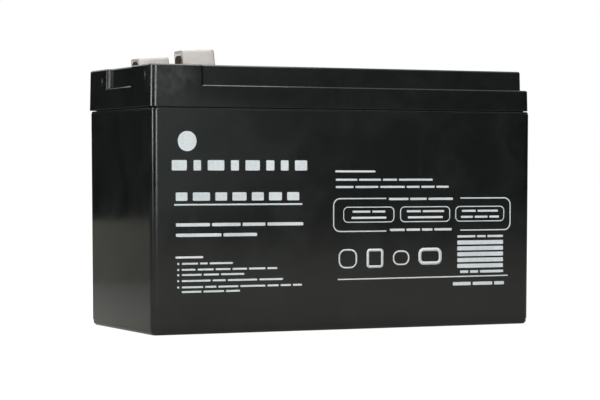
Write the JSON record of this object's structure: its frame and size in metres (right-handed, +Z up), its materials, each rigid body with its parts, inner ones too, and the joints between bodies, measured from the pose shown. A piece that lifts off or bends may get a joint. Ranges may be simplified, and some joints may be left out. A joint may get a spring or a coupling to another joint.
{
  "type": "sealed lead acid battery",
  "caption": "Black moulded rectangular battery block with glued lid, flat valve cover and upright blade terminals under push-on caps at one end.",
  "frame": {"origin": "middle of the base, on the surface that the block stands on", "axes": "+X along the length, away from the terminals; +Y across, from the positive row to the negative row; +Z up"},
  "size_m": [0.1516, 0.0654, 0.0998],
  "materials": {
    "black_plastic": "moulded, glossy",
    "glue": "cured resin glue",
    "valve_rubber": "matt",
    "glass_mat": "felted glass fibre",
    "positive_paste": "pressed paste on a grid",
    "negative_paste": "pressed paste on a grid",
    "lead": "cast, dull",
    "tinned_brass": "tinned, bright",
    "red_resin": "poured, glossy",
    "black_resin": "poured, glossy",
    "pale_print": "printed ink",
    "cap_plastic": "soft, translucent"
  },
  "bodies": {
    "root": {"case": "black_plastic", "lid": "black_plastic", "valve_cover": "black_plastic", "joint_glue": "glue", "valve_caps": "valve_rubber", "cell_1_mats": "glass_mat", "cell_1_positive_plates": "positive_paste", "cell_1_negative_plates": "negative_paste", "cell_2_mats": "glass_mat", "cell_2_positive_plates": "positive_paste", "cell_2_negative_plates": "negative_paste", "cell_3_mats": "glass_mat", "cell_3_positive_plates": "positive_paste", "cell_3_negative_plates": "negative_paste", "cell_4_mats": "glass_mat", "cell_4_positive_plates": "positive_paste", "cell_4_negative_plates": "negative_paste", "cell_5_mats": "glass_mat", "cell_5_positive_plates": "positive_paste", "cell_5_negative_plates": "negative_paste", "cell_6_mats": "glass_mat", "cell_6_positive_plates": "positive_paste", "cell_6_negative_plates": "negative_paste", "link_1_2": "lead", "link_2_3": "lead", "link_3_4": "lead", "link_4_5": "lead", "link_5_6": "lead", "positive_pole": "lead", "positive_terminal": "tinned_brass", "positive_resin": "red_resin", "positive_terminal_cap": "cap_plastic", "negative_pole": "lead", "negative_terminal": "tinned_brass", "negative_resin": "black_resin", "negative_terminal_cap": "cap_plastic"}
  },
  "joints": []
}
